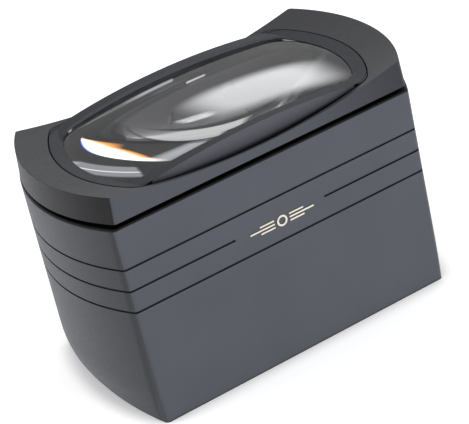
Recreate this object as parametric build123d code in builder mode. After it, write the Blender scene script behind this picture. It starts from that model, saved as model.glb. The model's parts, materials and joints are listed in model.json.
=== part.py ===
"""Box-shaped stand magnifier with a press-down, sprung lens head that switches on its lamps.

Units are millimetres.  +X runs along the length, the front faces -Y and +Z is up.
The origin is the middle of the footprint, on the surface that the stand rests on.
"""
import os
from math import sqrt

from build123d import *

os.makedirs("parts", exist_ok=True)

# ---------------------------------------------------------------- driving dimensions
# outer body: flat long sides and bulging ends
body_top = 65.0
base_width = 61.84
top_width = 58.66
base_half_flat = 49.68      # x where the flat long side ends, at the base
top_half_flat = 50.0
end_bulge = 8.25            # how far an end stands out beyond its corners
base_bulge = 4.06           # the same at the very base, where the ends curl in
curl_height = 15.2
corner_radius = 1.6
wall = 2.0

# belt grooves round the body
groove_heights = (52.0, 45.0, 38.06)
groove_height = 0.65
groove_depth = 0.5
emblem_gap = (-15.1, 15.7)  # the middle groove stops here, on the front
emblem_middle = 0.65
emblem_length = 22.0
emblem_height = 3.5
emblem_thickness = 0.15

# shelf inside the body that the springs and the switch stand on
shelf_bottom = 57.5
shelf_top = 59.5
shelf_opening = (90.0, 50.6)

# lens head
head_gap = 1.5
head_bottom = body_top + head_gap
cap_half_flat = 49.16
cap_width = 58.85
cap_bulge = 8.96
deck_half_flat = 48.53
deck_width = 58.71
deck_bulge = 8.85
dish_bottom = 67.03         # the deck is dished: lowest in the middle, over the lens
dish_length_radius = 223.4
dish_width_radius = 180.0
deck_high = 74.69           # the corners of the deck
deck_thickness = 2.0
floor_top = head_bottom + 0.8
skirt_bottom = 61.5
skirt_clearance = 0.3
skirt_thickness = 1.2

# lens and its rim
lens_outline = (43.6, 24.1, 1.9, 40.0, 8.0)     # apex, side, side bow, end radius, corner
lens_lap = 0.5              # the lens runs this far under the rim
lens_top = 74.6
lens_top_radius = 278.0
lens_bottom = 60.0
lens_bottom_radius = 110.0
lens_fit = 0.1
outer_outline = (47.8, 26.9, 0.2, 43.6, 5.0)    # of the rim
rim_high = 75.15
rim_arch_radius = 227.3
rim_proud = 0.08            # the ends of the rim stand this far above the deck
rim_undercut = 1.0
hole_outline = (47.95, 28.15, 1.2, 44.0, 5.5)   # of the pocket that the rim stands in
pocket_flange_gap = 0.15

# light well inside the body
well_bottom = 1.4
well_flange_top = 3.0
well_knee = 42.0
well_top = 57.3
well_wall = 1.2
well_low = (74.4, 49.6)     # outer length and width below the knee
well_high = (89.6, 50.4)    # outer length and width at the top
well_corner = 5.0

# lamps
led_positions = (-18.0, 0.0, 18.0)
led_size = (3.2, 1.7, 2.6)
led_height = 50.0
led_board_size = (52.0, 1.0, 6.4)
led_board_side = 26.1       # inner face of each lamp board

# batteries
cell_diameter = 10.5
cell_length = 44.5
cell_x = 44.9
cell_heights = (20.7, 31.3)
cell_shift = 1.5
tray_wall = 1.1
tray_half_length = 24.15
contact_thickness = 0.4
door_low = 15.6
door_high = 36.8
door_half_width = 24.0
door_gap = 0.3

# head guides, springs and switch
guide_spots = [(x, y) for x in (-50.8, 50.8) for y in (-11.0, 11.0)]
post_diameter = 2.8
spring_diameter = 4.2
spring_wire = 0.5
spring_turns = 6.5
spring_seat = 67.5
washer_thickness = 0.6
switch_x = -50.5
board_thickness = 1.0
switch_size = (6.0, 6.0, 3.6)
plunger_diameter = 3.2
plunger_top = 65.9

# wires
wire_diameter = 1.1
wire_bend = 1.5


# ---------------------------------------------------------------- shared outlines
def bulging_outline(height, half_flat, width, bulge, inset=0.0, corner=corner_radius):
    """Two straight long sides joined by an arc at each end, moved in by `inset`."""
    half = width / 2 - inset
    radius = ((width / 2) ** 2 + bulge**2) / (2 * bulge)
    centre = half_flat + bulge - radius
    flat_end = centre + sqrt((radius - inset) ** 2 - half**2)
    apex = half_flat + bulge - inset
    with BuildSketch(Plane.XY.offset(height)) as sketch:
        with BuildLine():
            Line((-flat_end, -half), (flat_end, -half))
            ThreePointArc((flat_end, -half), (apex, 0), (flat_end, half))
            Line((flat_end, half), (-flat_end, half))
            ThreePointArc((-flat_end, half), (-apex, 0), (-flat_end, -half))
        make_face()
        fillet(sketch.vertices(), corner)
    return sketch.sketch


def body_outline(height, inset=0.0, corner=corner_radius):
    """Section of the body at a height: drafted sides, ends that curl in near the base."""
    rise = height / body_top
    width = base_width + (top_width - base_width) * rise
    half_flat = base_half_flat + (top_half_flat - base_half_flat) * rise
    curl = max(0.0, 1 - height / curl_height) ** 2
    bulge = end_bulge - (end_bulge - base_bulge) * curl
    return bulging_outline(height, half_flat, width, bulge, inset, corner)


def circle_crossing(end_centre, end_radius, side_centre, side_radius):
    """Where a circle round (end_centre, 0) meets one round (0, side_centre), above and to the right."""
    apart = sqrt(end_centre**2 + side_centre**2)
    along = (apart**2 + end_radius**2 - side_radius**2) / (2 * apart)
    off = sqrt(end_radius**2 - along**2)
    x = end_centre - (along * end_centre + off * side_centre) / apart
    y = (along * side_centre - off * end_centre) / apart
    return x, y


def four_arc_outline(height, outline, grow=0.0):
    """Bowed long sides and round ends with rounded corners, made larger all round by `grow`."""
    apex, side, bow, end_radius, corner = outline
    corner_y = side - bow
    corner_x = apex - (end_radius - sqrt(end_radius**2 - corner_y**2))
    side_radius = (corner_x**2 + bow**2) / (2 * bow)
    x, y = circle_crossing(apex - end_radius, end_radius + grow, side - side_radius, side_radius + grow)
    with BuildSketch(Plane.XY.offset(height)) as sketch:
        with BuildLine():
            ThreePointArc((-x, -y), (0, -side - grow), (x, -y))
            ThreePointArc((x, -y), (apex + grow, 0), (x, y))
            ThreePointArc((x, y), (0, side + grow), (-x, y))
            ThreePointArc((-x, y), (-apex - grow, 0), (-x, -y))
        make_face()
        fillet(sketch.vertices(), corner + grow)
    return sketch.sketch


def above_dish(rise=0.0):
    """Solid that fills the space over the dished deck; `rise` lifts it."""
    half = 34.0
    lowest = dish_bottom + rise
    edge = lowest + dish_width_radius - sqrt(dish_width_radius**2 - half**2)
    top = lowest + 20
    with BuildPart() as solid:
        with BuildSketch(Plane.YZ):
            with BuildLine():
                ThreePointArc((-half, edge), (0, lowest), (half, edge))
                Line((half, edge), (half, top))
                Line((half, top), (-half, top))
                Line((-half, top), (-half, edge))
            make_face()
        axis = Axis((0, 0, lowest + dish_length_radius), (0, 1, 0))
        revolve(axis=axis, revolution_arc=20)
        mirror(about=Plane.YZ)
    return solid.part


def above_arch():
    """Solid over the arch that the long sides of the rim rise to."""
    half = 55.0
    edge = rim_high - rim_arch_radius + sqrt(rim_arch_radius**2 - half**2)
    top = rim_high + 6
    with BuildPart() as solid:
        with BuildSketch(Plane.XZ):
            with BuildLine():
                ThreePointArc((-half, edge), (0, rim_high), (half, edge))
                Line((half, edge), (half, top))
                Line((half, top), (-half, top))
                Line((-half, top), (-half, edge))
            make_face()
        extrude(amount=40, both=True)
    return solid.part


def rounded_box_outline(height, size, corner):
    with BuildSketch(Plane.XY.offset(height)) as sketch:
        RectangleRounded(size[0], size[1], corner)
    return sketch.sketch


def lens_blank(clearance):
    """The lens, or the space for it when `clearance` is more than nothing."""
    top_centre = lens_top + clearance - lens_top_radius
    bottom_centre = lens_bottom - clearance + lens_bottom_radius
    outline = four_arc_outline(lens_bottom - 2, lens_outline, lens_lap + clearance)
    with BuildPart() as blank:
        extrude(outline, amount=lens_top - lens_bottom + 4)
        with Locations((0, 0, top_centre)):
            Sphere(lens_top_radius, mode=Mode.INTERSECT)
        with Locations((0, 0, bottom_centre)):
            Sphere(lens_bottom_radius, mode=Mode.INTERSECT)
    return blank.part


def export(part, name):
    part.label = name
    export_step(part, f"parts/{name}.step")


# ---------------------------------------------------------------- housing shell
curl_sections = [curl_height * step / 4 for step in range(5)]
boss_spots = [(x, y) for x in (-46.0, 46.0) for y in (-25.2, 25.2)]
boss_diameter = 6.0
boss_top = 13.5
base_pilot = 1.9
post_hole = 3.3
wire_slot_spot = (-46.9, 8.9)
wire_slot = (1.7, 3.6)

with BuildPart() as housing_shell:
    loft(sections=[body_outline(height) for height in curl_sections])
    loft(sections=[body_outline(curl_height), body_outline(body_top)], ruled=True)
    fillet(housing_shell.edges().group_by(Axis.Z)[-1], 0.7)
    # inside, below and above the shelf
    loft(sections=[body_outline(height, wall, 1.0) for height in curl_sections], mode=Mode.SUBTRACT)
    loft(
        sections=[body_outline(curl_height, wall, 1.0), body_outline(shelf_bottom, wall, 1.0)],
        ruled=True,
        mode=Mode.SUBTRACT,
    )
    loft(
        sections=[body_outline(shelf_top, wall, 1.0), body_outline(body_top, wall, 1.0)],
        ruled=True,
        mode=Mode.SUBTRACT,
    )
    extrude(rounded_box_outline(shelf_bottom - 1, shelf_opening, 6.0), amount=4, mode=Mode.SUBTRACT)
    # holes for the head's guide posts and the wires, pilots for the switch board
    with Locations(*[(x, y, shelf_bottom + 1) for x, y in guide_spots]):
        Cylinder(post_hole / 2, 4, mode=Mode.SUBTRACT)
    with Locations(*[(wire_slot_spot[0], side * wire_slot_spot[1], shelf_bottom + 1) for side in (-1, 1)]):
        Box(*wire_slot, 4, mode=Mode.SUBTRACT)
    with Locations(*[(switch_x, y, shelf_bottom + 1) for y in (-5.3, 5.3)]):
        Cylinder(0.6, 4, mode=Mode.SUBTRACT)
    # belt grooves, with the middle one interrupted on the front
    for height in groove_heights:
        with BuildPart(mode=Mode.PRIVATE) as groove:
            extrude(body_outline(height - groove_height / 2, -2.0), amount=groove_height)
            extrude(
                body_outline(height - groove_height / 2, groove_depth),
                amount=groove_height,
                mode=Mode.SUBTRACT,
            )
            if height == groove_heights[1]:
                with Locations((sum(emblem_gap) / 2, -base_width / 2, height)):
                    Box(emblem_gap[1] - emblem_gap[0], 10, 4, mode=Mode.SUBTRACT)
        add(groove.part, mode=Mode.SUBTRACT)
    # bosses for the base screws, grown from the long walls
    with Locations(*[(x, y, (well_flange_top + boss_top) / 2) for x, y in boss_spots]):
        Cylinder(boss_diameter / 2, boss_top - well_flange_top)
    with Locations(*[(x, y * 1.09, (well_flange_top + boss_top) / 2) for x, y in boss_spots]):
        Box(3.6, 4.4, boss_top - well_flange_top)
    with Locations(*[(x, y, well_flange_top) for x, y in boss_spots]):
        Cylinder(base_pilot / 2, 16, mode=Mode.SUBTRACT)
    # opening for the battery door
    with Locations((56, 0, (door_low + door_high) / 2)):
        Box(
            16,
            2 * (door_half_width + door_gap),
            door_high - door_low + 2 * door_gap,
            mode=Mode.SUBTRACT,
        )
export(housing_shell.part, "housing_shell")

# ---------------------------------------------------------------- battery door
door_rib = 1.2
with BuildPart() as battery_door:
    extrude(body_outline(door_low), amount=door_high - door_low)
    extrude(body_outline(door_low, wall), amount=door_high - door_low, mode=Mode.SUBTRACT)
    # keep the piece of the end wall that the opening leaves room for
    with Locations((56, 0, (door_low + door_high) / 2)):
        Box(16, 2 * door_half_width, door_high - door_low, mode=Mode.INTERSECT)
    # locating ribs behind the skin
    for height in (door_low, door_high - door_rib):
        with BuildPart(mode=Mode.PRIVATE) as rib:
            extrude(body_outline(height, wall - 0.2), amount=door_rib)
            extrude(body_outline(height, wall + 1.8), amount=door_rib, mode=Mode.SUBTRACT)
            with Locations((56, 0, height)):
                Box(16, 2 * (door_half_width - 2), 6, mode=Mode.INTERSECT)
        add(rib.part)
    # shallow finger notch near the top edge
    with Locations((end_bulge + top_half_flat + 3.4, 0, door_high - 3.2)):
        Cylinder(4.2, 14, rotation=(90, 0, 0), mode=Mode.SUBTRACT)
export(battery_door.part, "battery_door")

# ---------------------------------------------------------------- top cap of the head
skirt_outer = wall + skirt_clearance
skirt_inner = skirt_outer + skirt_thickness
retainer_screw_spots = [(x, y) for x in (-44.8, 44.8) for y in (-21.0, 21.0)]
retainer_boss = 3.8
retainer_top = head_bottom - 0.1

with BuildPart() as cap_outside:
    loft(
        sections=[
            bulging_outline(head_bottom, cap_half_flat, cap_width, cap_bulge),
            bulging_outline(deck_high + 1, deck_half_flat, deck_width, deck_bulge),
        ],
        ruled=True,
    )

with BuildPart() as cap_hollow:
    loft(
        sections=[
            body_outline(skirt_bottom - 1, skirt_inner, 1.0),
            body_outline(deck_high + 1, skirt_inner, 1.0),
        ],
        ruled=True,
    )
    add(above_dish(-deck_thickness), mode=Mode.SUBTRACT)
    loft(
        sections=[
            body_outline(skirt_bottom - 1, skirt_inner, 1.0),
            body_outline(head_bottom, skirt_inner, 1.0),
        ],
        ruled=True,
    )

with BuildPart() as top_cap:
    add(cap_outside.part)
    loft(
        sections=[body_outline(skirt_bottom, skirt_outer, 1.0), body_outline(floor_top, skirt_outer, 1.0)],
        ruled=True,
    )
    add(cap_hollow.part, mode=Mode.SUBTRACT)
    # floor that the rim stands on
    extrude(four_arc_outline(head_bottom, hole_outline, 1.1), amount=floor_top - head_bottom)
    # bosses for the retainer screws, and spring seats
    with Locations(*[(x, y, (head_bottom + deck_high) / 2) for x, y in retainer_screw_spots]):
        Cylinder(retainer_boss / 2, deck_high - head_bottom)
    with Locations(*[(x, y, (spring_seat + deck_high) / 2) for x, y in guide_spots]):
        Cylinder(2.6, deck_high - spring_seat)
    # press pad over the switch
    with Locations((switch_x, 0, (plunger_top + 0.1 + deck_high) / 2)):
        Cylinder(2.6, deck_high - plunger_top - 0.1)
    add(above_dish(), mode=Mode.SUBTRACT)
    extrude(four_arc_outline(floor_top, hole_outline), amount=12, mode=Mode.SUBTRACT)
    extrude(four_arc_outline(head_bottom - 1, lens_outline, lens_lap + 0.8), amount=4, mode=Mode.SUBTRACT)
    # guide posts
    with Locations(*[(x, y, (shelf_bottom - 0.1 + spring_seat) / 2) for x, y in guide_spots]):
        Cylinder(post_diameter / 2, spring_seat - shelf_bottom + 0.1)
    with Locations(*[(x, y, shelf_bottom + 3) for x, y in guide_spots]):
        Cylinder(0.8, 8, mode=Mode.SUBTRACT)
    with Locations(*[(x, y, head_bottom + 1) for x, y in retainer_screw_spots]):
        Cylinder(0.8, 8.4, mode=Mode.SUBTRACT)
export(top_cap.part, "top_cap")

# ---------------------------------------------------------------- rim round the lens
flange_top = floor_top + 0.7
collar_top = 69.4
collar_start = 38.0
collar_half_width = 14.0


def end_collars(low, high, grow=0.0):
    """Blocks under the two ends of the lens, where it is thinnest."""
    with BuildPart() as collars:
        extrude(four_arc_outline(low, lens_outline, lens_lap + 0.6 + grow), amount=high - low)
        Box(2 * (collar_start - grow), 80, 200, mode=Mode.SUBTRACT)
        Box(200, 2 * (collar_half_width + grow), 200, mode=Mode.INTERSECT)
    return collars.part


# height, and the share of the undercut there
rim_sections = [(floor_top, 1.0), (69.0, 0.8), (70.8, 0.4), (72.4, 0.1), (76.0, 0.0)]
with BuildPart() as lens_bezel:
    loft(
        sections=[
            four_arc_outline(height, outer_outline, -rim_undercut * share)
            for height, share in rim_sections
        ]
    )
    extrude(four_arc_outline(floor_top, hole_outline, -pocket_flange_gap), amount=flange_top - floor_top)
    with BuildPart(mode=Mode.PRIVATE) as over_rim:
        add(above_arch())
        add(above_dish(rim_proud), mode=Mode.INTERSECT)
    add(over_rim.part, mode=Mode.SUBTRACT)
    extrude(four_arc_outline(floor_top - 1, lens_outline), amount=12, mode=Mode.SUBTRACT)
    add(lens_blank(lens_fit), mode=Mode.SUBTRACT)
    add(end_collars(floor_top - 1, collar_top + 0.1, 0.2), mode=Mode.SUBTRACT)
export(lens_bezel.part, "lens_bezel")

# ---------------------------------------------------------------- lens
lens_solid = lens_blank(0.0)
export(lens_solid, "lens")

# ---------------------------------------------------------------- lens retainer
retainer_bottom = 61.5
retainer_size = (94.0, 51.0)
retainer_waist = 90.0       # length between the notches that clear the switch and its wires
with BuildPart() as lens_retainer:
    with BuildSketch(Plane.XY.offset(retainer_bottom)):
        RectangleRounded(*retainer_size, 5.0)
        with Locations(*[(side * (retainer_waist / 2 + 5), 0) for side in (-1, 1)]):
            Rectangle(10, 26, mode=Mode.SUBTRACT)
    extrude(amount=retainer_top - retainer_bottom)
    loft(
        sections=[
            body_outline(retainer_bottom - 1, skirt_inner + 0.2, 1.0),
            body_outline(retainer_top + 1, skirt_inner + 0.2, 1.0),
        ],
        ruled=True,
        mode=Mode.INTERSECT,
    )
    add(end_collars(retainer_top, collar_top))
    extrude(four_arc_outline(retainer_bottom - 1, lens_outline, -1.2), amount=12, mode=Mode.SUBTRACT)
    add(lens_blank(lens_fit), mode=Mode.SUBTRACT)
    with Locations(*[(x, y, retainer_bottom) for x, y in retainer_screw_spots]):
        Cylinder(1.0, 12, mode=Mode.SUBTRACT)
        Cylinder(2.0, 4.4, mode=Mode.SUBTRACT)
export(lens_retainer.part, "lens_retainer")


# ---------------------------------------------------------------- fasteners
def pan_screws(spots, seat, shaft, length, head, head_height, up=True):
    """Screws along Z with the head's bearing face at `seat`; `up` means the shaft points up."""
    way = 1 if up else -1
    with BuildPart() as screws:
        with Locations(*[(x, y, seat + way * length / 2) for x, y in spots]):
            Cylinder(shaft / 2, length)
        with Locations(*[(x, y, seat - way * head_height / 2) for x, y in spots]):
            Cylinder(head / 2, head_height)
            Box(head * 0.6, 0.4, head_height, mode=Mode.SUBTRACT)
            Box(0.4, head * 0.6, head_height, mode=Mode.SUBTRACT)
        with Locations(*[(x, y, seat - way * head_height / 4) for x, y in spots]):
            Cylinder(head * 0.32, head_height / 2)
    return screws.part


export(pan_screws(retainer_screw_spots, retainer_bottom + 2.2, 1.5, 7.0, 3.4, 1.3), "retainer_screws")
washer_top = shelf_bottom - 0.1
export(pan_screws(guide_spots, washer_top - washer_thickness, 1.5, 6.0, 3.4, 1.3), "guide_screws")
base_screw_seat = well_bottom
export(pan_screws(boss_spots, base_screw_seat, 1.8, 8.0, 3.8, 1.2), "base_screws")

with BuildPart() as guide_washers:
    with Locations(*[(x, y, washer_top - washer_thickness / 2) for x, y in guide_spots]):
        Cylinder(2.9, washer_thickness)
        Cylinder(0.95, washer_thickness, mode=Mode.SUBTRACT)
export(guide_washers.part, "guide_washers")


# ---------------------------------------------------------------- springs
def coil(height, pitch_radius, wire, turns, cone=0.0):
    """Open helical spring standing on the XY plane."""
    path = Helix(pitch=(height - wire) / turns, height=height - wire, radius=pitch_radius, cone_angle=cone)
    path = path.moved(Location((0, 0, wire / 2)))
    start = path @ 0
    section = Plane(origin=start, z_dir=path % 0) * Circle(wire / 2)
    return sweep(section, path=path, is_frenet=True)


coil_radius = (spring_diameter - spring_wire) / 2
return_spring = coil(spring_seat - shelf_top, coil_radius, spring_wire, spring_turns)
return_springs = Compound(
    children=[return_spring.moved(Location((x, y, shelf_top))) for x, y in guide_spots]
)
export(return_springs, "return_springs")

# ---------------------------------------------------------------- switch
board_top = shelf_top + board_thickness
switch_top = board_top + switch_size[2]
with BuildPart() as switch_board:
    with Locations((switch_x, 0, shelf_top + board_thickness / 2)):
        Box(7.4, 14.4, board_thickness)
    fillet(switch_board.edges().filter_by(Axis.Z), 0.8)
    with Locations(*[(switch_x, y, shelf_top) for y in (-5.3, 5.3)]):
        Cylinder(0.8, 4, mode=Mode.SUBTRACT)
export(switch_board.part, "switch_board")
board_screw_spots = [(switch_x, -5.3), (switch_x, 5.3)]
export(pan_screws(board_screw_spots, board_top, 1.1, 2.6, 2.4, 0.9, up=False), "board_screws")

with BuildPart() as switch_body:
    with Locations((switch_x, 0, board_top + switch_size[2] / 2)):
        Box(*switch_size)
    chamfer(switch_body.edges().filter_by(Axis.Z), 0.5)
    with Locations((switch_x, 0, switch_top)):
        Cylinder(plunger_diameter / 2 + 0.2, 4.4, mode=Mode.SUBTRACT)
    with Locations((switch_x, 0, switch_top + 0.15)):
        Cylinder(2.4, 0.3)
        Cylinder(plunger_diameter / 2 + 0.2, 0.3, mode=Mode.SUBTRACT)
export(switch_body.part, "switch_body")

plunger_bottom = switch_top - 0.9
with BuildPart() as switch_plunger:
    with Locations((switch_x, 0, (plunger_bottom + plunger_top) / 2)):
        Cylinder(plunger_diameter / 2, plunger_top - plunger_bottom)
    fillet(switch_plunger.edges().group_by(Axis.Z)[-1], 0.4)
export(switch_plunger.part, "switch_plunger")

# ---------------------------------------------------------------- light well
tray_back = cell_x - cell_diameter / 2 - 0.25
tray_screw_spots = [(-14.0, sum(cell_heights) / 2), (14.0, sum(cell_heights) / 2)]


def well_size(size, inset):
    return (size[0] - 2 * inset, size[1] - 2 * inset)


with BuildPart() as light_well:
    for inset, how in ((0.0, Mode.ADD), (well_wall, Mode.SUBTRACT)):
        end_run = 0.0 if how == Mode.ADD else 1.0
        corner = well_corner - inset
        low_size = well_size(well_low, inset)
        high_size = well_size(well_high, inset)
        extrude(
            rounded_box_outline(well_bottom - end_run, low_size, corner),
            amount=well_knee - well_bottom + end_run,
            mode=how,
        )
        loft(
            sections=[
                rounded_box_outline(well_knee, low_size, corner),
                rounded_box_outline(well_top, high_size, corner),
            ],
            ruled=True,
            mode=how,
        )
        if how == Mode.ADD:
            # base flange that closes the underside round the well
            loft(
                sections=[
                    body_outline(well_bottom, wall + 0.25, 1.0),
                    body_outline(well_flange_top, wall + 0.25, 1.0),
                ],
                ruled=True,
            )
    # windows for the lamps, and pads that the lamp boards lie on
    pad_y = led_board_side - 0.75
    for side in (-1, 1):
        with Locations(*[(x, side * (led_board_side - 1.6), led_height) for x in led_positions]):
            Box(led_size[0] + 0.6, 3.4, led_size[2] + 0.6, mode=Mode.SUBTRACT)
        with Locations(*[(x, side * pad_y, led_height) for x in (-24.0, -9.0, 9.0, 24.0)]):
            Box(2.0, 1.5, led_board_size[2])
    # seats for the battery tray
    with Locations(*[(well_low[0] / 2 + (tray_back - tray_wall - well_low[0] / 2) / 2, y, z)
                     for y, z in tray_screw_spots]):
        Cylinder(2.4, tray_back - tray_wall - well_low[0] / 2, rotation=(0, 90, 0))
    with Locations(*[(tray_back - tray_wall, y, z) for y, z in tray_screw_spots]):
        Cylinder(0.8, 3.2, rotation=(0, 90, 0), mode=Mode.SUBTRACT)
    with Locations(*[(x, y, well_bottom) for x, y in boss_spots]):
        Cylinder(1.0, 8, mode=Mode.SUBTRACT)
export(light_well.part, "light_well")

# ---------------------------------------------------------------- lamps
for side, name in ((-1, "front"), (1, "back")):
    with BuildPart() as lamp_board:
        with Locations((0, side * (led_board_side + led_board_size[1] / 2), led_height)):
            Box(*led_board_size)
        fillet(lamp_board.edges().filter_by(Axis.Y), 0.6)
    export(lamp_board.part, f"led_board_{name}")

led_y = led_board_side - led_size[1] / 2
with BuildPart() as leds:
    for side in (-1, 1):
        with Locations(*[(x, side * led_y, led_height) for x in led_positions]):
            Box(*led_size)
    fillet(leds.edges().filter_by(Axis.Y), 0.4)
export(leds.part, "leds")

with BuildPart() as lamp_resistors:
    for side in (-1, 1):
        with Locations((-13.5, side * (led_board_side - 0.3), led_height + 0.6)):
            Box(3.2, 0.6, 1.6)
export(lamp_resistors.part, "lamp_resistors")

# ---------------------------------------------------------------- batteries
tray_low = door_low - door_gap - tray_wall
tray_high = door_high + tray_wall
tray_front = 49.2
tray_outside = tray_half_length + tray_wall
tag_size = (1.6, 2.2, 0.8)  # solder tags that reach out through the end of the tray
tag_x = cell_x - 2.2
with BuildPart() as battery_tray:
    with Locations(((tray_back - tray_wall + tray_front) / 2, 0, (tray_low + tray_high) / 2)):
        Box(
            tray_front - tray_back + tray_wall,
            2 * tray_outside,
            tray_high - tray_low,
        )
        with Locations((tray_wall, 0, 0)):
            Box(
                tray_front - tray_back + tray_wall,
                2 * tray_half_length,
                tray_high - tray_low - 2 * tray_wall,
                mode=Mode.SUBTRACT,
            )
    with Locations(*[(tray_back - tray_wall / 2, y, z) for y, z in tray_screw_spots]):
        Cylinder(1.0, tray_wall * 2, rotation=(0, 90, 0), mode=Mode.SUBTRACT)
    with Locations(*[(tag_x, -tray_outside, height) for height in cell_heights]):
        Box(tag_size[0] + 0.4, 3 * tray_wall, tag_size[2] + 0.4, mode=Mode.SUBTRACT)
export(battery_tray.part, "battery_tray")

with BuildPart() as tray_screws:
    with Locations(*[(tray_back - 1.35, y, z) for y, z in tray_screw_spots]):
        Cylinder(0.75, 2.7, rotation=(0, 90, 0))
    with Locations(*[(tray_back + 0.5, y, z) for y, z in tray_screw_spots]):
        Cylinder(1.7, 1.0, rotation=(0, 90, 0))
    with Locations(*[(tray_back + 0.8, y, z) for y, z in tray_screw_spots]):
        Box(0.5, 2.0, 0.4, mode=Mode.SUBTRACT)
        Box(0.5, 0.4, 2.0, mode=Mode.SUBTRACT)
export(tray_screws.part, "tray_screws")

nub_length = 0.8
with BuildPart() as battery_cells:
    for side, height in zip((1, -1), cell_heights):
        middle = side * cell_shift
        with Locations((cell_x, middle - side * nub_length / 2, height)):
            Cylinder(cell_diameter / 2, cell_length - nub_length, rotation=(90, 0, 0))
        with Locations((cell_x, middle + side * (cell_length - nub_length) / 2, height)):
            Cylinder(1.9, nub_length, rotation=(90, 0, 0))
    fillet(battery_cells.edges().filter_by(GeomType.CIRCLE).sort_by(SortBy.RADIUS)[-4:], 0.5)
export(battery_cells.part, "battery_cells")

plate_middle = tray_half_length - contact_thickness / 2
with BuildPart() as contact_jumper:
    with Locations((cell_x, plate_middle, sum(cell_heights) / 2)):
        Box(7.0, contact_thickness, 18.0)
    fillet(contact_jumper.edges().filter_by(Axis.Y), 1.0)
export(contact_jumper.part, "contact_jumper")

with BuildPart() as contact_terminals:
    with Locations(*[(cell_x, -plate_middle, height) for height in cell_heights]):
        Box(7.0, contact_thickness, 7.4)
    fillet(contact_terminals.edges().filter_by(Axis.Y), 1.0)
    with Locations(*[(tag_x, -tray_half_length - tag_size[1] / 2, height) for height in cell_heights]):
        Box(*tag_size)
export(contact_terminals.part, "contact_terminals")

contact_gap = tray_half_length - contact_thickness - (cell_length / 2 - cell_shift)
contact_coil = coil(contact_gap, 2.6, 0.5, 3.0)
spring_starts = (
    Location((cell_x, -tray_half_length + contact_thickness, cell_heights[0]), (-90, 0, 0)),
    Location((cell_x, tray_half_length - contact_thickness, cell_heights[1]), (90, 0, 0)),
)
contact_springs = Compound(children=[contact_coil.moved(start) for start in spring_starts])
export(contact_springs, "contact_springs")


# ---------------------------------------------------------------- wires
def wire(points):
    """Insulated wire held along straight runs with round bends."""
    with BuildPart() as lead:
        with BuildLine() as route:
            FilletPolyline(*points, radius=wire_bend)
        with BuildSketch(Plane(origin=route.line @ 0, z_dir=route.line % 0)):
            Circle(wire_diameter / 2)
        sweep()
    return lead.part


solder_x = switch_x + 2.3
solder_y = 4.5
loop_z = board_top + 2.2
wire_y = -tray_outside - wire_diameter / 2
deep_y = wire_y - 1.2
slot_x, slot_y = wire_slot_spot
lamp_run_y = led_board_side + 0.5
lamp_end = led_board_size[0] / 2
lamp_run_x = 46.0

# battery plus, along the front to the left end and up to the switch board
supply_route = [
    (tag_x, wire_y, cell_heights[1] + tag_size[2] / 2),
    (tag_x, wire_y, 40.5),
    (slot_x, wire_y, 40.5),
    (slot_x, slot_y - 0.7, 40.5),
    (slot_x, slot_y - 0.7, loop_z),
    (solder_x + 0.2, solder_y, loop_z),
    (solder_x + 0.2, solder_y, board_top),
]
# battery minus, along the front to the lower edge of the front lamp board
return_route = [
    (tag_x, wire_y, cell_heights[0] - tag_size[2] / 2),
    (tag_x, wire_y, 16.5),
    (-16.0, wire_y, 16.5),
    (-20.0, deep_y, 20.5),
    (-20.0, deep_y, led_height - led_board_size[2] / 2),
]
# from the switch to each lamp board
front_lamp_route = [
    (solder_x, -solder_y, board_top),
    (solder_x, -solder_y, loop_z),
    (slot_x, -slot_y, loop_z),
    (slot_x, -slot_y, led_height),
    (slot_x, -lamp_run_y, led_height),
    (-lamp_end, -lamp_run_y, led_height),
]
back_lamp_route = [
    (solder_x - 4.8, solder_y + 1.9, board_top),
    (solder_x - 4.8, solder_y + 1.9, loop_z + 1.3),
    (slot_x, slot_y + 0.7, loop_z + 1.3),
    (slot_x, slot_y + 0.7, led_height),
    (slot_x, lamp_run_y, led_height),
    (-lamp_end, lamp_run_y, led_height),
]
# between the two lamp boards, round the right end over the batteries
link_route = [
    (lamp_end, -lamp_run_y, led_height),
    (lamp_run_x, -lamp_run_y, led_height),
    (lamp_run_x, lamp_run_y, led_height),
    (lamp_end, lamp_run_y, led_height),
]
routes = {
    "supply_wire": supply_route,
    "return_wire": return_route,
    "front_lamp_wire": front_lamp_route,
    "back_lamp_wire": back_lamp_route,
    "lamp_link_wire": link_route,
}
for name, route_points in routes.items():
    export(wire(route_points), name)

# ---------------------------------------------------------------- emblem on the front
emblem_z = groove_heights[1] - 0.9
face_lean = (base_width - top_width) / 2 / body_top
face_y = -(base_width / 2 - face_lean * emblem_z)
emblem_plane = Plane(origin=(emblem_middle, face_y, emblem_z), x_dir=(1, 0, 0), z_dir=(0, -1, face_lean))
bars_start = emblem_height / 2 + 0.8
long_bar = emblem_length / 2 - bars_start
with BuildPart() as front_emblem:
    with BuildSketch(emblem_plane):
        Circle(emblem_height / 2)
        Circle(emblem_height / 2 - 0.6, mode=Mode.SUBTRACT)
        for side in (-1, 1):
            for row, length in ((-1.1, 5.0), (0.0, long_bar), (1.1, 5.0)):
                with Locations((side * (bars_start + length / 2), row)):
                    SlotOverall(length, 0.5)
    extrude(amount=emblem_thickness)
export(front_emblem.part, "front_emblem")
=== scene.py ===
"""Looks of the stand magnifier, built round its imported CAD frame.  Metres, +Z up, front towards -Y."""
import json
from math import atan2, cos, pi, radians, sin, sqrt

import bpy
from mathutils import Matrix, Quaternion, Vector


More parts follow.
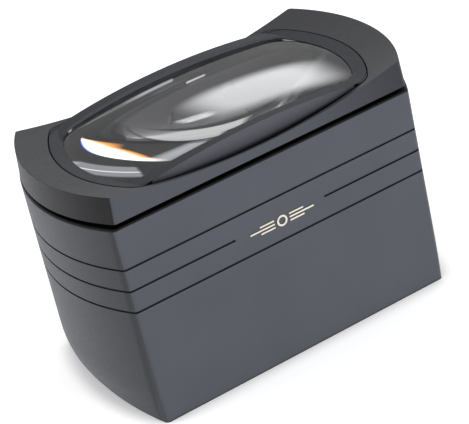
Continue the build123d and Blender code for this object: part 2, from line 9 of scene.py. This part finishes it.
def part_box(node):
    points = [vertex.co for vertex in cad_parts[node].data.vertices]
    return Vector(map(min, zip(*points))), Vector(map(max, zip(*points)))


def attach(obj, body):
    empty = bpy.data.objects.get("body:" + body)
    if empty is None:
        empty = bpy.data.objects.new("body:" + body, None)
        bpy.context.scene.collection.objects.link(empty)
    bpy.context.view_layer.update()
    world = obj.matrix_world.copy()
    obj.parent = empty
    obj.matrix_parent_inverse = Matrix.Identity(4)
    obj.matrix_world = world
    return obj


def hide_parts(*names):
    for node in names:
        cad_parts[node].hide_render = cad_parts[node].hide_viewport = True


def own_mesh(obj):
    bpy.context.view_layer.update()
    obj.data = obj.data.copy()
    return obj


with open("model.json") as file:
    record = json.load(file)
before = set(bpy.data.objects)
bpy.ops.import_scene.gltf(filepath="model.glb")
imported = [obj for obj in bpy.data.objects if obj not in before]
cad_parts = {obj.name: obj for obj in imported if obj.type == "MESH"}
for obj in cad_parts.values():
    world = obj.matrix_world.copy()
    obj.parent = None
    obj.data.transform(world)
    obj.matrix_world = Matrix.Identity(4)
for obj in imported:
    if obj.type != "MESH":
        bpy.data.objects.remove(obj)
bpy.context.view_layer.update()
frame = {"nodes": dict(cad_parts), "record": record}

MM = 0.001

# Black paint stands for the shade in the gap under the head. Going up, the body turns black between the
# first two heights, and the head comes out of black between the second two.
BODY_TOP_SHADE = (64.25 * MM, 64.5 * MM)
HEAD_FOOT_SHADE = (66.4 * MM, 66.6 * MM)
# Black painted as shade in creases and narrow gaps.
CREASE_SHADE_BLACK = (0.001, 0.001, 0.001)

# The gap round the rim, where black is painted as shade: two end arcs and two side arcs with rounded
# corners.
GAP_END_CENTRE = 3.95 * MM
GAP_END_RADIUS = 44.0 * MM
GAP_CORNER = 5.5 * MM
GAP_SIDE = 28.15 * MM
GAP_SIDE_RADIUS = 625.6 * MM
GAP_SIDE_CENTRE = GAP_SIDE_RADIUS - GAP_SIDE
GAP_MIDDLE = 0.075 * MM
GAP_HALF_WIDTH = 0.2 * MM
GAP_SOFT_EDGE = 0.08 * MM


# ---------------------------------------------------------------- shader helpers
class Shader:
    """A new material with one Principled node, and short ways to add the nodes that drive it."""

    def __init__(self, name, **values):
        self.material = bpy.data.materials.new(name)
        self.material.use_nodes = True
        self.nodes = self.material.node_tree.nodes
        self.links = self.material.node_tree.links
        self.bsdf = self.nodes["Principled BSDF"]
        for socket, value in values.items():
            self.bsdf.inputs[socket.replace("_", " ")].default_value = value
        self.position = self.nodes.new("ShaderNodeTexCoord").outputs["Object"]

    def link(self, source, target):
        self.links.new(source, target)

    def noise(self, scale, detail=2.0, roughness=0.5, stretch=None):
        node = self.nodes.new("ShaderNodeTexNoise")
        node.inputs["Scale"].default_value = scale
        node.inputs["Detail"].default_value = detail
        node.inputs["Roughness"].default_value = roughness
        if stretch:
            mapping = self.nodes.new("ShaderNodeMapping")
            mapping.inputs["Scale"].default_value = stretch
            self.link(self.position, mapping.inputs["Vector"])
            self.link(mapping.outputs["Vector"], node.inputs["Vector"])
        else:
            self.link(self.position, node.inputs["Vector"])
        return node.outputs["Fac"]

    def ramp(self, value, stops):
        node = self.nodes.new("ShaderNodeValToRGB")
        elements = node.color_ramp.elements
        while len(elements) < len(stops):
            elements.new(0.5)
        for element, (place, colour) in zip(elements, stops):
            element.position = place
            element.color = colour if len(colour) == 4 else (*colour, 1)
        self.link(value, node.inputs["Fac"])
        return node.outputs["Color"]

    def between(self, value, low, high, out_low=0.0, out_high=1.0):
        """Map `value` from low..high to out_low..out_high, held at the ends."""
        node = self.nodes.new("ShaderNodeMapRange")
        node.inputs["From Min"].default_value = low
        node.inputs["From Max"].default_value = high
        node.inputs["To Min"].default_value = out_low
        node.inputs["To Max"].default_value = out_high
        self.link(value, node.inputs["Value"])
        return node.outputs["Result"]

    def math(self, operation, first, second):
        node = self.nodes.new("ShaderNodeMath")
        node.operation = operation
        for socket, value in zip(node.inputs, (first, second)):
            if isinstance(value, (int, float)):
                socket.default_value = value
            else:
                self.link(value, socket)
        return node.outputs["Value"]

    def absolute(self, value):
        return self.math("ABSOLUTE", value, 0.0)

    def times(self, *values):
        product = values[0]
        for value in values[1:]:
            product = self.math("MULTIPLY", product, value)
        return product

    def length(self, first, second):
        squares = self.math("ADD", self.times(first, first), self.times(second, second))
        return self.math("SQRT", squares, 0.0)

    def band(self, place, low, high, soft):
        """1 from `low` to `high`, with soft sides inside that stretch."""
        rise = self.between(place, low, low + soft)
        fall = self.between(place, high - soft, high, 1.0, 0.0)
        return self.times(rise, fall)

    def axis(self, name):
        node = self.nodes.new("ShaderNodeSeparateXYZ")
        self.link(self.position, node.inputs["Vector"])
        return node.outputs[name]

    def mix(self, amount, first, second, blend="MIX"):
        node = self.nodes.new("ShaderNodeMix")
        node.data_type = "RGBA"
        node.blend_type = blend
        factor = node.inputs[0]
        colour_a, colour_b = [socket for socket in node.inputs if socket.type == "RGBA"]
        for socket, value in ((factor, amount), (colour_a, first), (colour_b, second)):
            if isinstance(value, bpy.types.NodeSocket):
                self.link(value, socket)
            elif isinstance(value, tuple):
                socket.default_value = (*value, 1)
            else:
                socket.default_value = value
        return [socket for socket in node.outputs if socket.type == "RGBA"][0]

    def grey(self, value):
        node = self.nodes.new("ShaderNodeCombineColor")
        for socket in node.inputs[:3]:
            self.link(value, socket)
        return node.outputs["Color"]

    def creases(self, reach, low, high):
        """1 in the open, falling to 0 in grooves and gaps narrower than `reach`."""
        node = self.nodes.new("ShaderNodeAmbientOcclusion")
        node.samples = 8
        node.inputs["Distance"].default_value = reach
        return self.between(node.outputs["AO"], low, high)

    def normal(self, name):
        node = self.nodes.new("ShaderNodeSeparateXYZ")
        self.link(self.nodes.new("ShaderNodeTexCoord").outputs["Normal"], node.inputs["Vector"])
        return node.outputs[name]

    def facing(self, name, low, high):
        """1 where the surface looks along the named axis, either way."""
        return self.between(self.absolute(self.normal(name)), low, high)

    def colour(self, value):
        self.link(value, self.bsdf.inputs["Base Color"])

    def linked_colour(self):
        return self.bsdf.inputs["Base Color"].links[0].from_socket

    def tint(self, amount, colour):
        """Blend the base colour towards `colour` where `amount` is 1."""
        self.colour(self.mix(amount, self.linked_colour(), colour))

    def tone(self, factor):
        """Multiply the base colour by a factor."""
        self.colour(self.mix(1.0, self.linked_colour(), self.grey(factor), "MULTIPLY"))

    def darken(self, amount):
        self.tone(self.math("SUBTRACT", 1.0, amount))

    def lighten(self, amount):
        self.tone(self.math("ADD", 1.0, amount))

    def roughness(self, value):
        self.link(value, self.bsdf.inputs["Roughness"])

    def bump(self, height, strength, distance, edge=None):
        node = self.nodes.new("ShaderNodeBump")
        node.inputs["Strength"].default_value = strength
        node.inputs["Distance"].default_value = distance
        self.link(height, node.inputs["Height"])
        if edge:
            rounding = self.nodes.new("ShaderNodeBevel")
            rounding.samples = 6
            rounding.inputs["Radius"].default_value = edge
            self.link(rounding.outputs["Normal"], node.inputs["Normal"])
        self.link(node.outputs["Normal"], self.bsdf.inputs["Normal"])


# ---------------------------------------------------------------- materials
def moulded_plastic(name, colour, roughness=0.42, grain=0.12, edge=0.25 * MM, variation=0.06, gloss=0.5,
                    crease=None, crease_limits=(0.45, 0.92)):
    """Matte moulded plastic: fine spark-eroded grain, slight cloudiness and softly rounded edges.

    With `crease`, gaps narrower than that are painted nearly black, as shade.
    """
    shader = Shader(name, Roughness=roughness, Specular_IOR_Level=gloss)
    cloud = shader.noise(38.0, 3.0, 0.55)
    darker = tuple(channel * (1 - variation) for channel in colour)
    lighter = tuple(channel * (1 + variation) for channel in colour)
    tint = shader.ramp(cloud, [(0.3, darker), (0.7, lighter)])
    if crease:
        tint = shader.mix(shader.creases(crease, *crease_limits), CREASE_SHADE_BLACK, tint)
    shader.colour(tint)
    shader.roughness(shader.between(shader.noise(900.0), 0.3, 0.7, roughness - 0.04, roughness + 0.05))
    if grain:
        shader.bump(shader.noise(5200.0, 2.0, 0.6), grain, 0.02 * MM, edge)
    return shader


def painted_glow(shader, strength, x_range, y_range, z_range):
    """Painted light: white light from the surface itself, though it is no lamp, kept to one block of space
    by soft-sided masks.
    """
    ranges = zip("XYZ", (x_range, y_range, z_range))
    masks = [shader.band(shader.axis(name), low, high, 0.3 * MM) for name, (low, high) in ranges]
    shader.link(shader.times(*masks, strength), shader.bsdf.inputs["Emission Strength"])
    shader.bsdf.inputs["Emission Color"].default_value = (1, 1, 1, 1)


def rim_gap_shade(shader):
    """1 along the narrow gap between the rim's round ends and the cap, 0 elsewhere: where black is painted
    as shade.
    """
    across_x = shader.absolute(shader.axis("X"))
    across_y = shader.absolute(shader.axis("Y"))
    end = shader.length(shader.math("SUBTRACT", across_x, GAP_END_CENTRE), across_y)
    end = shader.math("SUBTRACT", end, GAP_END_RADIUS - GAP_CORNER)
    side = shader.length(across_x, shader.math("ADD", across_y, GAP_SIDE_CENTRE))
    side = shader.math("SUBTRACT", side, GAP_SIDE_RADIUS - GAP_CORNER)
    outside = shader.length(shader.math("MAXIMUM", end, 0.0), shader.math("MAXIMUM", side, 0.0))
    inside = shader.math("MINIMUM", shader.math("MAXIMUM", end, side), 0.0)
    distance = shader.math("SUBTRACT", shader.math("ADD", outside, inside), GAP_CORNER - GAP_MIDDLE)
    outer = GAP_HALF_WIDTH + GAP_SOFT_EDGE
    return shader.between(shader.absolute(distance), GAP_HALF_WIDTH, outer, 1.0, 0.0)


def body_plastic():
    """The body: blue-grey, lighter and bluer than the cap's top partly as painted light; its ends greyer and
    darker towards the front corners and its four corners darker, as painted shade.
    """
    shader = moulded_plastic("body_plastic", (0.076, 0.083, 0.101), 0.5, 0.06, gloss=0.4, crease=1.0 * MM)
    # Painted light: a small patch inside the body's back wall, below the lens, glows white and shows through
    # the lens as a bright crescent.
    painted_glow(
        shader, 0.55,
        x_range=(7 * MM, 13.5 * MM), y_range=(24 * MM, 28.2 * MM), z_range=(57.6 * MM, 61.6 * MM),
    )
    along_x, along_y, height = (shader.axis(name) for name in "XYZ")
    # Painted shade: the ends are tinted greyer and darkened towards the front corners, more so higher up.
    ends = shader.facing("X", 0.5, 0.7)
    shader.tint(ends, (0.077, 0.081, 0.095))
    end_shade_near_front = shader.between(along_y, -29 * MM, -6 * MM, 0.48, 0.0)
    near_head = shader.between(height, 15 * MM, 50 * MM, 0.7, 1.0)
    shader.darken(shader.times(end_shade_near_front, near_head, ends))
    # Painted shade: the four upright corners are darkened.
    near_end = shader.between(shader.absolute(along_x), 50.0 * MM, 50.6 * MM)
    near_side = shader.between(shader.absolute(along_y), 27.2 * MM, 28.4 * MM)
    shader.darken(shader.times(near_end, near_side, 0.5))
    # Painted light: the upper part of the body is a little lighter.
    shader.lighten(shader.between(height, 30 * MM, 52 * MM, 0.0, 0.07))
    shader.tone(shader.between(height, *BODY_TOP_SHADE, 1.0, 0.0))
    return shader.material


def cap_plastic():
    """The cap: neutral grey on top, with the body's blue-grey painted on its long sides as light, and
    painted shade darkening its front corners.
    """
    shader = moulded_plastic("cap_plastic", (0.048, 0.049, 0.055), 0.5, 0.06, gloss=0.25,
                             crease=2.5 * MM, crease_limits=(0.30, 0.60))
    along_x, along_y, height = (shader.axis(name) for name in "XYZ")
    # Painted light: the long sides take the body's lighter blue-grey; painted shade darkens them towards +X.
    long_sides = shader.between(shader.absolute(along_y), 29.05 * MM, 29.15 * MM)
    shader.tint(long_sides, (0.086, 0.090, 0.110))
    shader.darken(shader.times(long_sides, shader.between(along_x, 10 * MM, 50 * MM, 0.0, 0.6)))
    # Painted shade and light: the ends darken towards the front corners and lighten a little towards the
    # back.
    ends = shader.facing("X", 0.5, 0.7)
    shader.lighten(shader.times(ends, shader.between(along_y, -26 * MM, 4 * MM, -0.8, 0.25)))
    # Painted light: the deck is lighter towards the front.
    deck = shader.between(shader.normal("Z"), 0.6, 0.8)
    shader.lighten(shader.times(deck, shader.between(along_y, -27 * MM, -8 * MM, 0.38, 0.0)))
    # Painted shade: black in the gap round the rim.
    shader.darken(rim_gap_shade(shader))
    shader.tone(shader.between(height, *HEAD_FOOT_SHADE))
    return shader.material


def rim_plastic():
    """The rim: dark on top, with the body's blue-grey painted on its outer walls as light."""
    shader = moulded_plastic("rim_plastic", (0.037, 0.040, 0.047), 0.55, 0.04, gloss=0.22)
    # Painted light: the outer walls take the body's lighter blue-grey.
    shader.tint(shader.facing("Y", 0.6, 0.85), (0.105, 0.107, 0.125))
    # Painted shade: black in the gap round the rim.
    shader.darken(rim_gap_shade(shader))
    # Painted shade: the rim is darker in creases and gaps.
    shader.tone(shader.creases(3.0 * MM, 0.34, 0.62))
    return shader.material


def inner_plastic():
    return moulded_plastic("inner_plastic", (0.018, 0.018, 0.020), 0.5, grain=0.0, edge=None).material


def well_plastic():
    return moulded_plastic("well_plastic", (0.15, 0.15, 0.165), 0.4, grain=0.03, edge=None).material


def switch_plastic():
    return moulded_plastic("switch_plastic", (0.02, 0.02, 0.022), 0.35, 0.05, 0.1 * MM).material


def plunger_plastic():
    return moulded_plastic("plunger_plastic", (0.55, 0.54, 0.50), 0.35, 0.05, 0.1 * MM).material


def chip_black():
    return moulded_plastic("chip_black", (0.015, 0.015, 0.016), 0.4, 0.05, 0.05 * MM).material


def acrylic(name):
    """Clear cast acrylic, polished."""
    shader = Shader(name, Roughness=0.0, IOR=1.49, Transmission_Weight=1.0)
    haze = shader.noise(60.0, 2.0)
    shader.colour(shader.ramp(haze, [(0.0, (0.97, 0.98, 0.98)), (1.0, (0.985, 0.99, 0.99))]))
    return shader


def lens_clear():
    return acrylic("lens_clear").material


def lens_underside():
    """The lower face of the lens, whose mirror image of the room is kept faint."""
    shader = acrylic("lens_underside")
    shader.bsdf.inputs["Specular Tint"].default_value = (0.15, 0.15, 0.15, 1)
    return shader.material


def painted_crescent_shape(shader, across, height):
    """1 above a sloping line on the lens's edge: the shape of the painted crescent of light."""
    lower_limit = shader.math("SUBTRACT", 63.6 * MM, shader.times(across, 0.15))
    return shader.between(shader.math("SUBTRACT", height, lower_limit), 0.0, 0.35 * MM)


def painted_crescent_fringes(shader, across, height):
    """The painted crescent's colours along X, standing for the lens splitting light: blue, white and orange,
    spreading at the top and foot of the edge.
    """
    low_flare = shader.between(height, 63.6 * MM, 65.0 * MM, 1.8 * MM, 0.0)
    high_flare = shader.between(height, 69.0 * MM, 72.0 * MM, 0.0, 2.6 * MM)
    reach = shader.math("SUBTRACT", across, shader.math("ADD", low_flare, high_flare))
    return shader.ramp(shader.between(reach, -5.0 * MM, 7.0 * MM), [
        (0.0, (0.0, 0.0, 0.0)),
        (0.06, (0.02, 0.06, 0.55)),
        (0.15, (0.45, 0.62, 1.0)),
        (0.24, (1.0, 1.0, 1.0)),
        (0.76, (1.0, 0.98, 0.94)),
        (0.83, (1.0, 0.36, 0.06)),
        (0.90, (0.0, 0.0, 0.0)),
    ])


def painted_edge_streaks(shader, across, height):
    """Painted light: a wide dim streak along the lens's edge round a thin brighter one, both fainter on the
    left.
    """
    dim = shader.times(shader.between(height, 64.4 * MM, 64.7 * MM, 0.0, 0.28),
                       shader.between(height, 67.7 * MM, 68.3 * MM, 1.0, 0.0))
    bright = shader.times(shader.band(height, 66.1 * MM, 66.55 * MM, 0.15 * MM), 0.7)
    stretch = shader.times(shader.between(across, -16 * MM, -8 * MM, 0.25, 1.0),
                           shader.between(across, 2.2 * MM, 2.7 * MM, 1.0, 0.0))
    return shader.times(shader.math("ADD", dim, bright), stretch)


def lens_edge_painted_glow():
    """Ground edge of the lens: dark, with a band at the back that glows as painted light.

    Seen at a grazing angle, the band is a bright painted crescent; seen more squarely, it is two faint
    painted streaks.
    """
    shader = Shader("lens_edge_painted_glow", Roughness=0.6)
    across = shader.axis("X")
    height = shader.axis("Z")
    weight = shader.nodes.new("ShaderNodeLayerWeight")
    weight.inputs["Blend"].default_value = 0.5
    grazing = shader.between(weight.outputs["Facing"], 0.53, 0.62)
    square = shader.between(weight.outputs["Facing"], 0.54, 0.58, 1.0, 0.0)
    back = shader.between(shader.axis("Y"), 0.0, 4 * MM)
    # Painted light: the crescent and the streaks glow from the edge itself.
    crescent = shader.times(painted_crescent_shape(shader, across, height), back, grazing, 1.7)
    streaks = shader.times(painted_edge_streaks(shader, across, height), back, square)
    colours = shader.mix(grazing, (0.9, 0.93, 1.0), painted_crescent_fringes(shader, across, height))
    shader.link(colours, shader.bsdf.inputs["Emission Color"])
    shader.link(shader.math("ADD", crescent, streaks), shader.bsdf.inputs["Emission Strength"])
    cloud = shader.noise(150.0, 2.0)
    shader.colour(shader.ramp(cloud, [(0.3, (0.03, 0.03, 0.033)), (0.7, (0.07, 0.07, 0.075))]))
    return shader.material


def emblem_foil():
    """Champagne metal foil with fine brushing along X."""
    shader = Shader("emblem_foil", Metallic=1.0, Roughness=0.32)
    brushed = shader.noise(900.0, 3.0, 0.6, (0.08, 1.0, 1.0))
    shader.colour(shader.ramp(brushed, [(0.2, (0.66, 0.60, 0.50)), (0.8, (0.86, 0.81, 0.70))]))
    shader.roughness(shader.between(brushed, 0.2, 0.8, 0.25, 0.42))
    shader.bump(brushed, 0.15, 0.01 * MM)
    return shader.material


def metal(name, dark, light, roughness, scale=700.0):
    shader = Shader(name, Metallic=1.0, Roughness=roughness)
    streaks = shader.noise(scale, 4.0, 0.65)
    shader.colour(shader.ramp(streaks, [(0.3, dark), (0.7, light)]))
    shader.roughness(shader.between(streaks, 0.3, 0.7, roughness - 0.06, roughness + 0.1))
    shader.bump(streaks, 0.1, 0.01 * MM, 0.06 * MM)
    return shader.material


def screw_steel():
    return metal("screw_steel", (0.42, 0.42, 0.43), (0.62, 0.62, 0.63), 0.28)


def spring_steel():
    return metal("spring_steel", (0.50, 0.50, 0.50), (0.68, 0.68, 0.68), 0.22)


def contact_metal():
    return metal("contact_metal", (0.60, 0.58, 0.53), (0.76, 0.74, 0.68), 0.25)


def board_green():
    """Solder-masked board: green lacquer with the weave of the glass cloth just showing."""
    shader = Shader("board_green", Roughness=0.35, Coat_Weight=0.3)
    weave = shader.noise(2500.0, 2.0)
    shader.colour(shader.ramp(weave, [(0.3, (0.015, 0.10, 0.045)), (0.7, (0.025, 0.14, 0.06))]))
    shader.bump(weave, 0.1, 0.02 * MM)
    return shader.material


def led_white():
    """Lamp package: milky white case with a warm phosphor tint."""
    shader = Shader("led_white", Roughness=0.3, Subsurface_Weight=0.1)
    cloud = shader.noise(1500.0, 2.0)
    shader.colour(shader.ramp(cloud, [(0.3, (0.28, 0.27, 0.21)), (0.7, (0.33, 0.32, 0.27))]))
    return shader.material


def cell_wrap():
    """Shrink-wrapped cell: plain charcoal film with a pale band at one end, no print."""
    shader = Shader("cell_wrap", Roughness=0.25, Coat_Weight=0.4)
    grain = shader.noise(400.0, 2.0)
    band = shader.between(shader.axis("Y"), 9 * MM, 9.4 * MM)
    body = shader.ramp(grain, [(0.3, (0.05, 0.052, 0.06)), (0.7, (0.065, 0.067, 0.075))])
    shader.colour(shader.mix(band, body, (0.62, 0.60, 0.56)))
    shader.bump(grain, 0.05, 0.02 * MM)
    return shader.material


def wire_sleeve(name, colour):
    shader = Shader(name, Roughness=0.38)
    grain = shader.noise(2200.0, 2.0)
    darker = tuple(channel * 0.85 for channel in colour)
    shader.colour(shader.ramp(grain, [(0.3, darker), (0.7, colour)]))
    shader.bump(grain, 0.08, 0.02 * MM)
    return shader.material


def wire_red():
    return wire_sleeve("wire_red", (0.42, 0.02, 0.015))


def wire_black():
    return wire_sleeve("wire_black", (0.02, 0.02, 0.021))


FINISHES = {
    maker.__name__: maker()
    for maker in (
        body_plastic, cap_plastic, rim_plastic, lens_clear, inner_plastic, well_plastic, emblem_foil,
        screw_steel, spring_steel, contact_metal, board_green, led_white, switch_plastic,
        plunger_plastic, chip_black, cell_wrap, wire_red, wire_black,
    )
}


def dress_cad_nodes():
    """Give every CAD node the finish of its material slot."""
    for subpart in frame["record"]["subparts"]:
        slots = frame["nodes"][subpart["node"]].material_slots
        for slot in slots:
            slot.material = FINISHES[subpart["material_slot"]]


dress_cad_nodes()

# ---------------------------------------------------------------- lens
# LENS_APEX and LENS_SIDE are half the length and half the width that show; LENS_LAP more runs under the rim.
LENS_APEX = 43.6 * MM
LENS_SIDE = 24.1 * MM
LENS_BOW = 1.9 * MM
LENS_END_RADIUS = 40.0 * MM
LENS_CORNER = 8.0 * MM
LENS_LAP = 0.5 * MM
LENS_TOP_RADIUS = 278.0 * MM
LENS_BOTTOM_RADIUS = 110.0 * MM
LENS_RINGS = 72


def circle_crossing(end_centre, end_radius, side_centre, side_radius):
    """Where a circle round (end_centre, 0) meets one round (0, side_centre), above and to the right."""
    apart = sqrt(end_centre**2 + side_centre**2)
    along = (apart**2 + end_radius**2 - side_radius**2) / (2 * apart)
    off = sqrt(end_radius**2 - along**2)
    x = end_centre - (along * end_centre + off * side_centre) / apart
    y = (along * side_centre - off * end_centre) / apart
    return x, y


def lens_outline(grow, end_steps=40, corner_steps=16, side_steps=60):
    """Points round the lens: round ends, rounded corners and bowed sides."""
    corner_y = LENS_SIDE - LENS_BOW
    corner_x = LENS_APEX - (LENS_END_RADIUS - sqrt(LENS_END_RADIUS**2 - corner_y**2))
    side_radius = (corner_x**2 + LENS_BOW**2) / (2 * LENS_BOW)
    end_centre = LENS_APEX - LENS_END_RADIUS
    side_centre = LENS_SIDE - side_radius
    x, y = circle_crossing(
        end_centre, LENS_END_RADIUS - LENS_CORNER, side_centre, side_radius - LENS_CORNER,
    )
    end_turn = atan2(y, x - end_centre)
    side_turn = atan2(y - side_centre, x)
    quarter = []

    def arc(centre, radius, start, stop, steps):
        for step in range(steps):
            turn = start + (stop - start) * step / steps
            quarter.append((centre[0] + radius * cos(turn), centre[1] + radius * sin(turn)))

    arc((end_centre, 0), LENS_END_RADIUS + grow, 0, end_turn, end_steps)
    arc((x, y), LENS_CORNER + grow, end_turn, side_turn, corner_steps)
    arc((0, side_centre), side_radius + grow, side_turn, pi / 2, side_steps)
    second = [(-px, py) for px, py in reversed(quarter[1:])]
    half = quarter + [(0, LENS_SIDE + grow)] + second + [(-LENS_APEX - grow, 0)]
    return half + [(px, -py) for px, py in reversed(half[1:-1])]


def face_points(outline, face_height):
    """Points of one face of the lens: its centre, then rings that grow out to the outline."""
    points = [(0.0, 0.0, face_height(0.0))]
    for ring in range(1, LENS_RINGS + 1):
        share = ring / LENS_RINGS
        for outline_x, outline_y in outline:
            x, y = outline_x * share, outline_y * share
            points.append((x, y, face_height(x * x + y * y)))
    return points


def face_polygons(count, start, flip):
    """A fan round the centre and quads between rings of `count` points, whose first point is `start`."""
    polygons = []
    for step in range(count):
        after = (step + 1) % count
        polygons.append((start, start + 1 + step, start + 1 + after))
        for ring in range(LENS_RINGS - 1):
            inner = start + 1 + ring * count
            outer = inner + count
            polygons.append((inner + step, outer + step, outer + after, inner + after))
    return [polygon[::-1] for polygon in polygons] if flip else polygons


def edge_polygons(count, shift):
    """Quads between the outermost rings of the two faces, whose point numbers lie `shift` apart."""
    last = 1 + (LENS_RINGS - 1) * count
    polygons = []
    for step in range(count):
        after = (step + 1) % count
        polygons.append((last + step, shift + last + step, shift + last + after, last + after))
    return polygons


def make_lens():
    """The lens as a fine mesh, so that its two spherical faces refract smoothly."""
    low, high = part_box("lens")

    def top_height(square):
        return high.z - LENS_TOP_RADIUS + sqrt(LENS_TOP_RADIUS**2 - square)

    def bottom_height(square):
        return low.z + LENS_BOTTOM_RADIUS - sqrt(LENS_BOTTOM_RADIUS**2 - square)

    outline = lens_outline(LENS_LAP)
    count = len(outline)
    top = face_points(outline, top_height)
    bottom = face_points(outline, bottom_height)
    top_polygons = face_polygons(count, 0, flip=False)
    bottom_polygons = face_polygons(count, len(top), flip=True)
    sides = edge_polygons(count, len(top))
    mesh = bpy.data.meshes.new("lens_optic")
    mesh.from_pydata(top + bottom, [], top_polygons + bottom_polygons + sides)
    mesh.update()
    mesh.polygons.foreach_set("use_smooth", [True] * len(mesh.polygons))
    mesh.set_sharp_from_angle(angle=radians(30))
    for material in (FINISHES["lens_clear"], lens_underside(), lens_edge_painted_glow()):
        mesh.materials.append(material)
    slots = [0] * len(top_polygons) + [1] * len(bottom_polygons) + [2] * len(sides)
    mesh.polygons.foreach_set("material_index", slots)
    lens = bpy.data.objects.new("lens_optic", mesh)
    bpy.context.scene.collection.objects.link(lens)
    lens.visible_shadow = False
    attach(lens, "lens_head")
    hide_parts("lens")


make_lens()


def make_springs():
    """The four return springs, as one piece with a mesh of its own, hung on the housing."""
    node = frame["nodes"]["return_springs"]
    springs = bpy.data.objects.new("springs", node.data.copy())
    bpy.context.scene.collection.objects.link(springs)
    springs.matrix_world = node.matrix_world
    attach(springs, "housing")
    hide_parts("return_springs")
    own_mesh(springs)


make_springs()

# ---------------------------------------------------------------- camera
CAMERA_AZIMUTH = radians(-25.48)
CAMERA_ELEVATION = radians(29.53)
CAMERA_ROLL = radians(-12.92)
CAMERA_DISTANCE = 621.2 * MM
CAMERA_SHIFT_RIGHT = -6.16 * MM
CAMERA_SHIFT_UP = 29.99 * MM
FOCAL_LENGTH = 154.66
SENSOR_WIDTH = 36.0


def add_camera():
    back = Vector((
        sin(CAMERA_AZIMUTH) * cos(CAMERA_ELEVATION),
        -cos(CAMERA_AZIMUTH) * cos(CAMERA_ELEVATION),
        sin(CAMERA_ELEVATION),
    ))
    level = Vector((0, 0, 1)).cross(back).normalized()
    upright = back.cross(level)
    right = cos(CAMERA_ROLL) * level + sin(CAMERA_ROLL) * upright
    up = -sin(CAMERA_ROLL) * level + cos(CAMERA_ROLL) * upright
    place = back * CAMERA_DISTANCE + right * CAMERA_SHIFT_RIGHT + up * CAMERA_SHIFT_UP
    data = bpy.data.cameras.new("camera")
    data.sensor_fit = "HORIZONTAL"
    data.sensor_width = SENSOR_WIDTH
    data.lens = FOCAL_LENGTH
    data.clip_start = 0.01
    camera = bpy.data.objects.new("camera", data)
    turn = Matrix((right, up, back)).transposed()
    camera.matrix_world = Matrix.Translation(place) @ turn.to_4x4()
    bpy.context.scene.collection.objects.link(camera)
    bpy.context.scene.camera = camera


add_camera()


# ---------------------------------------------------------------- floor and light
LAMP_AIM = Vector((0, 0, 50 * MM))
LAMP_COLOUR = (0.965, 0.975, 1.0)
FLOOR_SHADOW_REACH = 6.0 * MM


def add_floor():
    """White paper that glows a little, less so close to the object's foot as a painted contact shadow, and
    lights no matt surface.
    """
    bpy.ops.mesh.primitive_plane_add(size=6)
    floor = bpy.context.object
    floor.name = "floor"
    shader = Shader("paper_white", Roughness=0.9, Specular_IOR_Level=0.2)
    shader.bsdf.inputs["Emission Color"].default_value = (1, 1, 1, 1)
    # Painted shadow: the paper's glow weakens near the object's foot.
    light = shader.between(shader.creases(FLOOR_SHADOW_REACH, 0.5, 0.95), 0, 1, 0.18, 0.5)
    shader.link(light, shader.bsdf.inputs["Emission Strength"])
    shader.colour(shader.ramp(shader.noise(4.0), [(0.3, (0.88, 0.88, 0.88)), (0.7, (0.90, 0.90, 0.90))]))
    floor.data.materials.append(shader.material)
    floor.visible_diffuse = False


def fade_to_edges(data, core):
    """Dim a lamp towards its rounded-off edges, as a softbox's cloth does.

    `core` is the even part of the lamp, as a share of its half size.
    """
    data.use_nodes = True
    nodes = data.node_tree.nodes
    links = data.node_tree.links
    emission = nodes["Emission"]

    def combine(operation, first, second):
        node = nodes.new("ShaderNodeVectorMath")
        node.operation = operation
        for socket, value in zip(node.inputs, (first, second)):
            if isinstance(value, tuple):
                socket.default_value = value
            else:
                links.new(value, socket)
        return node.outputs["Vector"]

    place = nodes.new("ShaderNodeNewGeometry").outputs["Parametric"]
    centred = combine("SUBTRACT", place, (0.5, 0.5, 0))
    flat = combine("MULTIPLY", centred, (2, 2, 0))
    squared = combine("MULTIPLY", flat, flat)
    length = nodes.new("ShaderNodeVectorMath")
    length.operation = "LENGTH"
    links.new(squared, length.inputs[0])
    outwards = nodes.new("ShaderNodeMath")
    outwards.operation = "SQRT"
    links.new(length.outputs["Value"], outwards.inputs[0])
    fade = nodes.new("ShaderNodeMapRange")
    fade.interpolation_type = "SMOOTHSTEP"
    for socket, number in (("From Min", core), ("From Max", 1.0), ("To Min", 1.0), ("To Max", 0.0)):
        fade.inputs[socket].default_value = number
    links.new(outwards.outputs["Value"], fade.inputs["Value"])
    links.new(fade.outputs["Result"], emission.inputs["Strength"])


def softbox(name, towards, distance, width, height, radiance, core, turn=0.0):
    """A rectangular area light that stands `distance` from LAMP_AIM and faces it, turned on its axis."""
    data = bpy.data.lights.new(name, "AREA")
    data.shape = "RECTANGLE"
    data.size = width
    data.size_y = height
    data.energy = radiance * pi * width * height
    data.color = LAMP_COLOUR
    fade_to_edges(data, core)
    lamp = bpy.data.objects.new(name, data)
    direction = Vector(towards).normalized()
    lamp.location = LAMP_AIM + direction * distance
    facing = direction.to_track_quat("Z", "Y")
    lamp.rotation_euler = (facing @ Quaternion((0, 0, 1), radians(turn))).to_euler()
    bpy.context.scene.collection.objects.link(lamp)
    return lamp


def add_world(strength):
    world = bpy.data.worlds.new("studio")
    bpy.context.scene.world = world
    world.use_nodes = True
    background = world.node_tree.nodes["Background"]
    background.inputs["Color"].default_value = (1, 1, 1, 1)
    background.inputs["Strength"].default_value = strength


add_floor()
add_world(0.6)
softbox(
    "key", (0.467, 0.759, 0.461), distance=0.9, width=0.30, height=0.165, radiance=5.5, core=0.45, turn=34,
)
front = softbox("front", (0.42, -0.90, 0.35), distance=1.6, width=1.2, height=1.0, radiance=7.6, core=0.2)
left_back = softbox(
    "left_back", (-0.80, 0.45, 0.45), distance=1.5, width=1.2, height=1.0, radiance=4.1, core=0.2,
)
for lamp in (front, left_back):
    lamp.visible_glossy = False
    lamp.visible_transmission = False
bpy.context.scene.view_settings.view_transform = "Standard"
